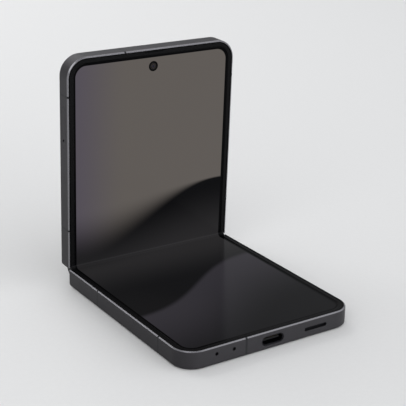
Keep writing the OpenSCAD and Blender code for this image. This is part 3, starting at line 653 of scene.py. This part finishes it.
def foldPanel(half):
    columns = fold["columns"]
    reach = phone["halfWidth"] - phone["rim"] - phone["bezelGap"] - fold["underBezel"]
    xs = [-reach + 2 * reach * i / columns for i in range(columns + 1)]
    rings, flat = [], []
    for place, normal, s in foldPath(half, fold["span"]):
        face = [place + Vector((x, 0, 0)) for x in xs]
        rings.append(face + [p - normal * fold["panel"] for p in reversed(face)])
        flat += [(x, s, faceZ) for x in xs] + [(x, s, faceZ - fold["panel"]) for x in reversed(xs)]
    points, faces = skin(rings)
    piece = addPiece("foldPanel_" + half, points, faces, finishes["screenFold_" + half], flat=flat)
    blendAtFold(piece, half)
    return piece


def foldBezel(half):
    wall = -phone["rim"] - phone["bezelGap"]
    inner = wall - phone["bezelWidth"]
    outline = [
        (wall, 0.0), (wall, fold["wallRise"]), (wall - fold["wallBevel"], fold["bezelRise"]),
        (inner + fold["slopeWidth"], fold["slopeRise"]), (inner, 0.0),
    ]
    points, faces, flat = [], [], []
    for side in (-1, 1):
        rings = []
        for place, normal, s in foldPath(half, bendS + fold["bezelStart"]):
            xs = [side * (phone["halfWidth"] + out) for out, up in outline]
            rings.append([place + normal * up + Vector((x, 0, 0)) for x, (out, up) in zip(xs, outline)])
            flat += [(x, s, faceZ + up) for x, (out, up) in zip(xs, outline)]
        sidePoints, sideFaces = skin(rings)
        first = len(points)
        points += sidePoints
        faces += [tuple(first + i for i in face) for face in sideFaces]
    material = finishes["bezelFold_" + half]
    piece = addPiece("foldBezel_" + half, points, faces, material, flat=flat)
    blendAtFold(piece, half)
    return piece


for half in ("lower", "upper"):
    panel = foldPanel(half)
    foldBezel(half)
    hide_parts("fold_display")


# Round part turned about an axis along a half's z, from a profile of radius and z
def turned(half, x, s, profile, looped=False, steps=64):
    rings = []
    for r, z in profile:
        turns = [2 * math.pi * i / steps for i in range(steps)]
        rings.append([toWorld[half] @ Vector((x + r * math.cos(a), s + r * math.sin(a), z)) for a in turns])
    return skin(rings, looped)


# Boxes given by their low and high corners in a half's flat frame, as one mesh
def blocks(half, corners):
    points, faces = [], []
    for low, high in corners:
        first = len(points)
        for z in (low[2], high[2]):
            for x, s in ((low[0], low[1]), (high[0], low[1]), (high[0], high[1]), (low[0], high[1])):
                points.append(toWorld[half] @ Vector((x, s, z)))
        sides = [(0, 1, 2, 3), (4, 5, 6, 7), (0, 1, 5, 4), (1, 2, 6, 5), (2, 3, 7, 6), (3, 0, 4, 7)]
        faces += [tuple(first + i for i in side) for side in sides]
    return points, faces


# Front camera in the display's hole: blackened stop ring and coated lens
frontEye = {
    "ringR": 1.62,
    "stopR": 1.2,
    "base": 6.46,
    "top": 6.535,
    "dome": 6.515,
    "outerBevel": (0.03, 0.02),
    "innerDrop": 0.03,
    "domeEdge": 0.03,
    "domeOverlap": 0.004,
    "grooveStart": 0.08,
    "grooveEnd": 0.14,
    "lipEnd": 0.2,
    "grooveDepth": 0.015,
}


def buildFrontEye():
    s = screen["holeS"]
    ringR, stopR, base, top = (frontEye[key] for key in ("ringR", "stopR", "base", "top"))
    bevelR, bevelZ = frontEye["outerBevel"]
    groove = top - frontEye["grooveDepth"]
    profile = [
        (ringR, base), (ringR, top - bevelZ), (ringR - bevelR, top), (stopR + frontEye["lipEnd"], top),
        (stopR + frontEye["grooveEnd"], groove), (stopR + frontEye["grooveStart"], groove),
        (stopR, top - frontEye["innerDrop"]), (stopR, base),
    ]
    points, faces = turned("upper", 0, s, profile, True)
    addPiece("frontStopRing", points, faces, finishes["eyeBlack"], "upper_half")
    dome = [(stopR, base)]
    foot = base + frontEye["domeEdge"]
    for i in range(7):
        angle = i / 6 * math.pi / 2
        r = stopR * math.cos(angle) + frontEye["domeOverlap"]
        dome.append((r, foot + (frontEye["dome"] - foot) * math.sin(angle)))
    points, faces = turned("upper", 0, s, dome)
    addPiece("frontLensDome", points, faces, finishes["frontLens"], "upper_half")


# Charging port: twelve contacts on each face of the tongue
port = {
    "count": 12,
    "pitch": 0.5,
    "width": 0.28,
    "proud": 0.025,
    "sunk": 0.02,
    "fromTip": 0.35,
    "length": 4.2,
}


def buildContacts():
    low, high = (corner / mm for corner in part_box("usb_tongue"))
    s1 = foldY - low.y - port["fromTip"]
    s0 = s1 - port["length"]
    corners = []
    for i in range(port["count"]):
        x = (i - (port["count"] - 1) / 2) * port["pitch"]
        x0, x1 = x - port["width"] / 2, x + port["width"] / 2
        corners.append(((x0, s0, high.z - port["sunk"]), (x1, s1, high.z + port["proud"])))
        corners.append(((x0, s0, low.z - port["proud"]), (x1, s1, low.z + port["sunk"])))
    points, faces = blocks("lower", corners)
    addPiece("portContacts", points, faces, finishes["gold"], "lower_half")


# Woven dust mesh inside each microphone hole
micMesh = {
    "places": (-23.0, -16.0),
    "z": 4.175,
    "holeR": 0.65,
    "depth": 0.5,
    "pitch": 0.2,
    "wire": 0.07,
    "wires": 7,
    "inWall": 0.02,
}


def buildMicMesh():
    corners = []
    s, z = phone["endS"] - micMesh["depth"], micMesh["z"]
    wire = micMesh["wire"]
    for x in micMesh["places"]:
        for i in range(micMesh["wires"]):
            offset = (i - (micMesh["wires"] - 1) / 2) * micMesh["pitch"]
            a, b = offset - wire / 2, offset + wire / 2
            chord = math.sqrt(micMesh["holeR"] ** 2 - offset ** 2) + micMesh["inWall"]
            corners.append(((x - chord, s - wire, z + a), (x + chord, s, z + b)))
            corners.append(((x + a, s - 2 * wire, z - chord), (x + b, s - wire, z + chord)))
    points, faces = blocks("lower", corners)
    addPiece("microphoneMesh", points, faces, finishes["meshMetal"], "lower_half")


buildFrontEye()
buildContacts()
buildMicMesh()
print("details: front camera, port contacts and microphone meshes")


# Studio in metres: floor, air, lamps (place, size and watts) and camera
studio = {
    "floorToneA": srgb(216, 216, 215),
    "floorToneB": srgb(220, 220, 219),
    "floorReach": 3.0,
    "floorDrop": 0.02 * mm,
    "worldTone": srgb(226, 227, 230),
    "worldLight": 0.78,
    "screenLight": 4.6,
    "screenTurn": 32,
    "screenAlong": (0.5, 0.85),
    "screenUp": (0.3, 0.55),
    "lampAim": (0, 0, 0.04),
    "lamps": {
        "keyLamp": ((-1.1, -0.9, 1.1), (1.3, 1.3), 8),
        "topLamp": ((0.62, -0.42, 0.95), (0.6, 0.6), 0.7),
        "backLamp": ((-0.1, 1.0, 0.85), (1.1, 0.6), 5),
    },
}


def buildFloor():
    mesh = bpy.data.meshes.new("floor")
    reach = studio["floorReach"]
    corners = [(-reach, -reach, 0), (reach, -reach, 0), (reach, reach, 0), (-reach, reach, 0)]
    mesh.from_pydata(corners, [], [(0, 1, 2, 3)])
    floor = bpy.data.objects.new("floor", mesh)
    floor.location.z = -studio["floorDrop"]
    bpy.context.scene.collection.objects.link(floor)
    material, tree, shader = newMaterial("floorPaper", Roughness=0.75)
    grain = noise(tree, worldPlace(tree), 0.6, 3.0)
    tone = mixColour(tree, grain, studio["floorToneA"], studio["floorToneB"])
    tree.links.new(tone, shader.inputs["Base Color"])
    mesh.materials.append(material)


def buildLamp(name, place, size, power):
    data = bpy.data.lights.new(name, "AREA")
    data.shape = "RECTANGLE"
    data.size, data.size_y = size
    data.energy = power
    lamp = bpy.data.objects.new(name, data)
    lamp.location = place
    lamp.rotation_euler = (Vector(studio["lampAim"]) - Vector(place)).to_track_quat("-Z", "Y").to_euler()
    lamp.visible_camera = False
    bpy.context.scene.collection.objects.link(lamp)


# Air round the studio, brighter low in front as from a wide soft screen, which the camera itself doesn't see
def buildWorld():
    world = bpy.data.worlds.new("studioAir")
    world.use_nodes = True
    tree = world.node_tree
    background = tree.nodes["Background"]
    background.inputs["Color"].default_value = studio["worldTone"]
    across, along, up = split(tree, put(tree, "TexCoord").outputs["Generated"])
    turn = math.radians(studio["screenTurn"])
    sideways = calc(tree, "MULTIPLY", across, math.sin(turn))
    forwards = calc(tree, "MULTIPLY", along, math.cos(turn))
    front = smooth(tree, calc(tree, "SUBTRACT", sideways, forwards), *studio["screenAlong"])
    low = smooth(tree, up, *studio["screenUp"], 1.0, 0.0)
    unseen = calc(tree, "SUBTRACT", 1.0, put(tree, "LightPath").outputs["Is Camera Ray"])
    screenLight = calc(tree, "MULTIPLY", calc(tree, "MULTIPLY", front, low), studio["screenLight"])
    strength = calc(tree, "ADD", calc(tree, "MULTIPLY", screenLight, unseen), studio["worldLight"])
    tree.links.new(strength, background.inputs["Strength"])
    bpy.context.scene.world = world


# The photo's viewpoint; the focal length was fitted in pixels of a picture 406 wide
view = {
    "place": (-0.2155, -0.3230, 0.1830),
    "azimuth": -33.4,
    "elevation": 20.2,
    "roll": 0.95,
    "focalPixels": 1153,
    "widthPixels": 406,
    "sensor": 36,
}


def buildCamera():
    azimuth, elevation, roll = (math.radians(view[key]) for key in ("azimuth", "elevation", "roll"))
    back = Vector((
        math.sin(azimuth) * math.cos(elevation), -math.cos(azimuth) * math.cos(elevation), math.sin(elevation)
    ))
    right = (-back).cross(Vector((0, 0, 1))).normalized()
    up = right.cross(-back)
    turnedRight = right * math.cos(roll) + up * math.sin(roll)
    turnedUp = up * math.cos(roll) - right * math.sin(roll)
    data = bpy.data.cameras.new("camera")
    data.sensor_fit = "HORIZONTAL"
    data.sensor_width = view["sensor"]
    data.lens = view["focalPixels"] / view["widthPixels"] * view["sensor"]
    data.clip_start, data.clip_end = 0.01, 20
    camera = bpy.data.objects.new("camera", data)
    basis = Matrix((turnedRight, turnedUp, back)).transposed().to_4x4()
    camera.matrix_world = Matrix.Translation(view["place"]) @ basis
    bpy.context.scene.collection.objects.link(camera)
    bpy.context.scene.camera = camera


buildFloor()
buildWorld()
for name, (place, size, power) in studio["lamps"].items():
    buildLamp(name, place, size, power)
buildCamera()
bpy.context.scene.view_settings.view_transform = "Standard"
print("studio: floor, world, three lamps and the camera")
